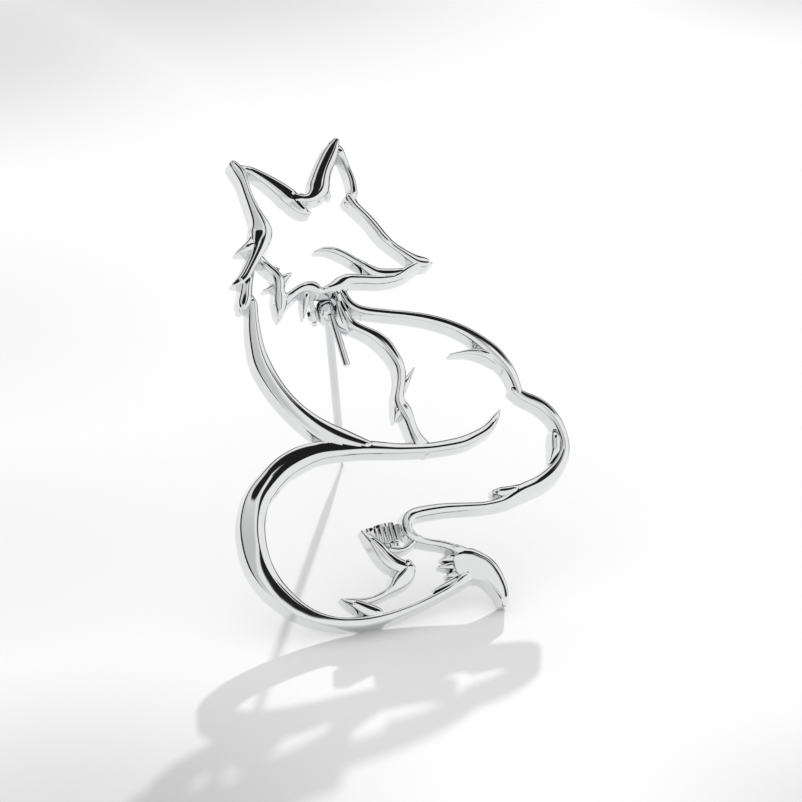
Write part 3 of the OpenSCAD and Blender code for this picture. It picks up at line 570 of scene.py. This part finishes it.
def polished_metal(name, colour, rough, lines, line_turn):
    """Plated metal: a mirror whose roughness wanders a little, with the faint waviness that polishing
    leaves and very fine wiping lines, all on Object coordinates."""
    material = bpy.data.materials.new(name)
    material.use_nodes = True
    tree = material.node_tree
    tree.nodes.clear()
    add = node_maker(tree)
    place = add("ShaderNodeTexCoord").outputs["Object"]
    cloud = add("ShaderNodeTexNoise", {"Vector": place, "Scale": CLOUDS, "Detail": 3.0, "Roughness": 0.55})
    tone = add("ShaderNodeMapRange", {"Value": cloud.outputs["Fac"], "From Min": 0.3, "From Max": 0.7,
                                      "To Min": 1.0 - CLOUD_DEPTH, "To Max": 1.0})
    grey = add("ShaderNodeCombineColor", {0: tone.outputs[0], 1: tone.outputs[0], 2: tone.outputs[0]})
    tint = add("ShaderNodeMix", {0: 1.0, 6: (*colour, 1.0), 7: grey.outputs[0]},
               data_type="RGBA", blend_type="MULTIPLY")
    soft = add("ShaderNodeMapRange", {"Value": cloud.outputs["Fac"], "From Min": 0.35, "From Max": 0.75,
                                      "To Min": rough, "To Max": rough * WORN})
    turned_place = add("ShaderNodeMapping", {"Vector": place, "Rotation": line_turn, "Scale": WIPES})
    wipe = add("ShaderNodeTexNoise", {"Vector": turned_place.outputs[0], "Scale": 1.0, "Detail": 2.0})
    wave = add("ShaderNodeTexNoise", {"Vector": place, "Scale": WAVES, "Detail": 1.0})
    fine = add("ShaderNodeBump", {"Height": wipe.outputs["Fac"], "Strength": lines, "Distance": 0.00001})
    relief = add("ShaderNodeBump", {"Height": wave.outputs["Fac"], "Strength": 0.12, "Distance": 0.00006,
                                    "Normal": fine.outputs[0]})
    shader = add("ShaderNodeBsdfPrincipled", {"Base Color": tint.outputs[2], "Roughness": soft.outputs[0],
                                              "Metallic": 1.0, "Normal": relief.outputs[0]})
    out = add("ShaderNodeOutputMaterial")
    tree.links.new(shader.outputs[0], out.inputs[0])
    return material


rhodium = polished_metal("polished_rhodium", (0.79, 0.795, 0.8), 0.03, 0.03, (0.3, 0.5, 0.9))
wire = polished_metal("drawn_pin_wire", (0.72, 0.73, 0.74), 0.07, 0.1, (0.0, 0.35, 0.5))

for piece in (casting, left_cheek, right_cheek, back_rod, housing, drum):
    piece.data.materials.clear()
    piece.data.materials.append(rhodium)
    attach(piece, "pin" if piece is drum else "fox")
for node, finish in (("hinge_rivet", wire), ("pin_stem", wire), ("catch_sleeve", rhodium)):
    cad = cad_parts[node]
    for place in cad.material_slots:
        place.material = finish

# Floor
BOARD = 0.79           # tone of the board
BOARD_REACH = 3.0      # half its width
GRAIN = 0.004          # how much its fine grain wanders
# places of painted shade on the board, where the light on it falls off: middle, reach, depth of the dip in its tone
PAINTED_SHADE_PLACES = [((0.03, 0.2), 0.09, 0.24), ((-0.02, 0.17), 0.07, 0.2), ((0.13, 0.16), 0.05, 0.2),
          ((-0.05, -0.05), 0.05, 0.2), ((0.03, -0.075), 0.035, 0.16), ((-0.05, 0.01), 0.045, 0.06),
          ((-0.04, 0.07), 0.05, 0.05)]


def pale_floor():
    """Wide sheet of pale board under the brooch, with painted shade at its far side, on the left and at the near
    corners,
    where the light on the board falls off: each dips smoothly from its rim to its middle."""
    corners = np.array([[-1, -1, 0], [1, -1, 0], [1, 1, 0], [-1, 1, 0]]) * BOARD_REACH
    board = new_piece("pale_floor", corners, [[0, 1, 2, 3]])
    material = bpy.data.materials.new("pale_board")
    material.use_nodes = True
    tree = material.node_tree
    tree.nodes.clear()
    add = node_maker(tree)
    place = add("ShaderNodeTexCoord").outputs["Object"]
    deepest_painted_shade = None
    # painted shade: each place lowers the board's colour where the light on it falls off
    for middle, reach, depth in PAINTED_SHADE_PLACES:
        away = add("ShaderNodeVectorMath", {0: place, 1: (*middle, 0.0)}, operation="DISTANCE")
        dip = add("ShaderNodeMapRange", {"Value": away.outputs["Value"], "From Min": reach, "From Max": 0.0,
                                         "To Min": 0.0, "To Max": depth}, interpolation_type="SMOOTHERSTEP")
        deepest_painted_shade = dip.outputs[0] if deepest_painted_shade is None else add(
            "ShaderNodeMath", {0: deepest_painted_shade, 1: dip.outputs[0]}, operation="MAXIMUM").outputs[0]
    # the board's tone less the painted shade
    shaded_board = add("ShaderNodeMath", {0: BOARD, 1: deepest_painted_shade}, operation="SUBTRACT")
    fibres = add("ShaderNodeTexNoise", {"Vector": place, "Scale": 900.0, "Detail": 4.0})
    grain = add("ShaderNodeMapRange", {"Value": fibres.outputs["Fac"], "To Min": -GRAIN, "To Max": GRAIN})
    tone = add("ShaderNodeMath", {0: shaded_board.outputs[0], 1: grain.outputs[0]}, operation="ADD").outputs[0]
    grey = add("ShaderNodeCombineColor", {0: tone, 1: tone, 2: tone})
    shader = add("ShaderNodeBsdfPrincipled", {"Base Color": grey.outputs[0], "Roughness": 0.9,
                                              "Specular IOR Level": 0.0})
    out = add("ShaderNodeOutputMaterial")
    tree.links.new(shader.outputs[0], out.inputs[0])
    board.data.materials.append(material)


pale_floor()

# Studio
PLAIN = 0.9            # what the camera sees beyond the floor
SOFT_LIGHT = 0.95      # even light that the room throws on the floor
WHITE = 1.0            # cards in front and on the right
OFF_WHITE = 0.96       # front card straight below the flags
GREY = 0.66            # far wall on the left
GREY_HIGH = 0.86       # the same wall towards the ceiling
GREY_LOW = 0.95        # and low down
DARK = 0.016           # black flags and the open back
FLAG_SOFT = 1.2        # half width of a flag's soft edge, in degrees
# black flags that hang over the front and overhead: azimuth, elevation and angular radius of each
FLAGS = [(-67, 57, 7), (-52, 65, 9), (-32, 66, 10), (-12, 68, 9.5), (-15, 56, 9), (-60, 82, 10),
         (-104, 75, 8.5)]
KEY_LIGHT = 2.3        # the lamp's strength, azimuth, elevation and breadth
KEY_TURN, KEY_HEIGHT = 62.5, 26.5
KEY_BREADTH = 1.6
# the camera's place, its turn about z, its dip below level and its roll
CAMERA_AT = (-101.02 * MM, -307.25 * MM, 191.27 * MM)
CAMERA_TURN, CAMERA_DIP, CAMERA_ROLL = -18.64, 28.18, 0.217
SENSOR = 36.0          # width of its sensor, in millimetres
FOCAL_SHARE = 3219.6 / 802  # focal length, as a multiple of that width


def direction(azimuth, elevation):
    """Unit vector towards an azimuth, counted from +X towards +Y, and an elevation, in degrees."""
    a, e = math.radians(azimuth), math.radians(elevation)
    return (math.cos(a) * math.cos(e), math.sin(a) * math.cos(e), math.sin(e))


def studio_world():
    """A pale room: white cards in front and on the right, a greyer wall on the left, a white ceiling,
    black flags over the front and a dark open back. In mirror reflections every edge is a smooth step
    of the direction's azimuth or elevation, or of its angle from a flag's middle. The floor gets
    the room's mean light, and the camera sees plain pale beyond the floor."""
    world = bpy.data.worlds.new("studio")
    bpy.context.scene.world = world
    world.use_nodes = True
    tree = world.node_tree
    tree.nodes.clear()
    add = node_maker(tree)
    towards = add("ShaderNodeTexCoord").outputs["Generated"]
    look = add("ShaderNodeSeparateXYZ", {0: towards})

    def math_node(kind, a, b=0.0):
        return add("ShaderNodeMath", {0: a, 1: b}, operation=kind).outputs[0]

    def step(value, start, stop, low=0.0, high=1.0):
        """low where the value is at start, high where it is at stop, smooth between"""
        if start < stop:
            ends = {"From Min": start, "From Max": stop, "To Min": low, "To Max": high}
        else:
            ends = {"From Min": stop, "From Max": start, "To Min": high, "To Max": low}
        return add("ShaderNodeMapRange", {"Value": value, **ends}, interpolation_type="SMOOTHSTEP").outputs[0]

    def mixed(share, a, b):
        """a where the share is 0, b where it is 1"""
        return add("ShaderNodeMix", {"Factor": share, "A": a, "B": b}, data_type="FLOAT").outputs[0]

    turn = math_node("MULTIPLY", math_node("ARCTAN2", look.outputs[1], look.outputs[0]), 180 / math.pi)
    height = math_node("MULTIPLY", math_node("ARCSINE", look.outputs[2]), 180 / math.pi)
    # front and right: a little grey straight below the flags, white further right
    level = step(turn, -66, -50, OFF_WHITE, WHITE)
    # left wall, brighter towards the ceiling and low down, dark low at its far end
    wall = mixed(step(height, 58, 70), GREY, GREY_HIGH)
    wall = mixed(step(height, 40, 30), wall, GREY_LOW)
    far_left = math_node("MAXIMUM", step(turn, 112, 124), step(turn, -132, -146))
    wall = mixed(math_node("MULTIPLY", far_left, step(height, 48, 38)), wall, DARK)
    level = mixed(math_node("MAXIMUM", step(turn, -90, -104), step(turn, 112, 122)), level, wall)
    # open dark back, and a dark gap low on the right
    open_back = math_node("MULTIPLY", step(turn, 20, 32), step(turn, 120, 110))
    open_back = math_node("MULTIPLY", open_back, step(height, 54, 46))
    side_gap = math_node("MULTIPLY", step(turn, 2, 12), step(turn, 40, 30))
    open_back = math_node("MAXIMUM", open_back, math_node("MULTIPLY", side_gap, step(height, 40, 34)))
    low_gap = math_node("MULTIPLY", step(turn, -20, -8), step(turn, 120, 110))
    low_gap = math_node("MULTIPLY", low_gap, step(height, 20, 12))
    level = mixed(math_node("MAXIMUM", open_back, low_gap), level, DARK)
    for azimuth, elevation, radius in FLAGS:
        near = add("ShaderNodeVectorMath", {0: towards, 1: direction(azimuth, elevation)},
                   operation="DOT_PRODUCT")
        outer, inner = (math.cos(math.radians(radius + soft)) for soft in (FLAG_SOFT, -FLAG_SOFT))
        level = mixed(step(near.outputs["Value"], outer, inner), level, DARK)
    ray = add("ShaderNodeLightPath")
    level = mixed(ray.outputs["Is Diffuse Ray"], level, SOFT_LIGHT)
    level = mixed(ray.outputs["Is Camera Ray"], level, PLAIN)
    colour = add("ShaderNodeCombineColor", {0: level, 1: level, 2: level})
    room = add("ShaderNodeBackground", {"Color": colour.outputs[0], "Strength": 1.0})
    out = add("ShaderNodeOutputWorld")
    tree.links.new(room.outputs[0], out.inputs[0])


def key_light():
    """Large distant lamp from behind on the right, which throws the long shadow to the front left."""
    lamp = bpy.data.lights.new("key", "SUN")
    lamp.energy = KEY_LIGHT
    lamp.angle = math.radians(KEY_BREADTH)
    key = bpy.data.objects.new("key", lamp)
    towards = Vector(direction(KEY_TURN, KEY_HEIGHT))
    key.rotation_euler = towards.to_track_quat("Z", "Y").to_euler()
    key.location = towards * 0.5
    key.visible_glossy = False
    bpy.context.scene.collection.objects.link(key)


def camera():
    """The photograph's view: from the front, a little to the left, and from above."""
    turn, dip, roll = (math.radians(angle) for angle in (CAMERA_TURN, CAMERA_DIP, CAMERA_ROLL))
    ahead = np.array([-math.sin(turn) * math.cos(dip), math.cos(turn) * math.cos(dip), -math.sin(dip)])
    level = np.array([math.cos(turn), math.sin(turn), 0.0])
    upright = np.cross(level, ahead)
    right = level * math.cos(roll) + upright * math.sin(roll)
    up = -level * math.sin(roll) + upright * math.cos(roll)
    lens = bpy.data.cameras.new("camera")
    lens.sensor_width = SENSOR
    lens.sensor_fit = "HORIZONTAL"
    lens.lens = SENSOR * FOCAL_SHARE
    lens.clip_start, lens.clip_end = 0.01, 20.0
    view = bpy.data.objects.new("camera", lens)
    pose = np.eye(4)
    pose[:3] = np.column_stack([right, up, -ahead, CAMERA_AT])
    view.matrix_world = Matrix(pose.tolist())
    bpy.context.scene.collection.objects.link(view)
    bpy.context.scene.camera = view


studio_world()
key_light()
camera()
bpy.context.scene.view_settings.view_transform = "Standard"
